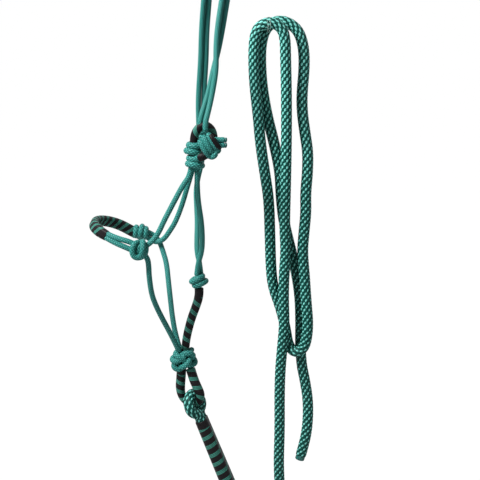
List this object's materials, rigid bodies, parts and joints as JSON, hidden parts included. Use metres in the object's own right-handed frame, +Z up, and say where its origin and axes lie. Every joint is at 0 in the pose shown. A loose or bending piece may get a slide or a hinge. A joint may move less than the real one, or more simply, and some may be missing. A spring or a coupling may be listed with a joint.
{
  "type": "rope halter",
  "caption": "Hand-tied rope halter with a wrapped noseband and a braided lead rope, hanging by its crown with the lead looped up beside it.",
  "frame": {"origin": "underside of the crown where it hangs over its peg", "axes": "+Z up, -X the way the horse would face, -Y the near (left) side"},
  "size_m": [0.2885, 0.135, 0.8956],
  "materials": {
    "halter_cord": "fine braided nylon cord with a soft sheen",
    "dark_lacing": "flat waxed lacing, black with teal bands",
    "lead_rope": "solid braided rope in two greens",
    "melted_end": "cord ends melted hard",
    "pale_thread": "thin pale thread"
  },
  "bodies": {
    "headstall": {"side_knot_near": "halter_cord", "side_knot_far": "halter_cord", "nose_knot_near": "halter_cord", "nose_knot_far": "halter_cord", "throat_knot": "halter_cord", "fiador_knot": "halter_cord", "tie_hitch": "halter_cord", "cheek_cord_near": "halter_cord", "cheek_cord_far": "halter_cord", "chin_cord_near": "halter_cord", "chin_cord_far": "halter_cord", "throat_cord_near": "halter_cord", "throat_cord_far": "halter_cord", "crown_cord_front": "halter_cord", "crown_cord_rear": "halter_cord", "crown_tails": "halter_cord", "tie_eye_cord": "halter_cord", "throat_strap_cord": "halter_cord", "lead_loop_cord": "halter_cord", "tie_eye_wrap": "dark_lacing", "throat_strap_wrap": "dark_lacing", "lead_loop_wrap": "dark_lacing", "lead_rope_hank": "lead_rope", "crown_tail_ends": "melted_end", "hank_tie": "pale_thread"},
    "noseband": {"noseband_cord_lower": "halter_cord", "noseband_cord_upper": "halter_cord", "noseband_wrap": "dark_lacing"},
    "lead": {"lead_rope_bight": "lead_rope", "lead_wrap": "dark_lacing"},
    "lead_tail": {"lead_rope_tail": "lead_rope", "lead_rope_tip": "melted_end"}
  },
  "joints": [
    {"name": "noseband_fold", "type": "hinge", "parent": "headstall", "child": "noseband", "pos_m": [-0.1031, -0.056, -0.4275], "axis": [-0.0455, 0.9988, 0.0161], "range_deg": [-45, 35]},
    {"name": "lead_swing", "type": "hinge", "parent": "headstall", "child": "lead", "pos_m": [-0.0372, 0, -0.6417], "axis": [0.9965, 0, 0.0833], "range_deg": [-20, 20]},
    {"name": "lead_tail_swing", "type": "hinge", "parent": "headstall", "child": "lead_tail", "pos_m": [0.1006, 0.005, -0.5877], "axis": [1, 0, 0], "range_deg": [-30, 30]}
  ]
}
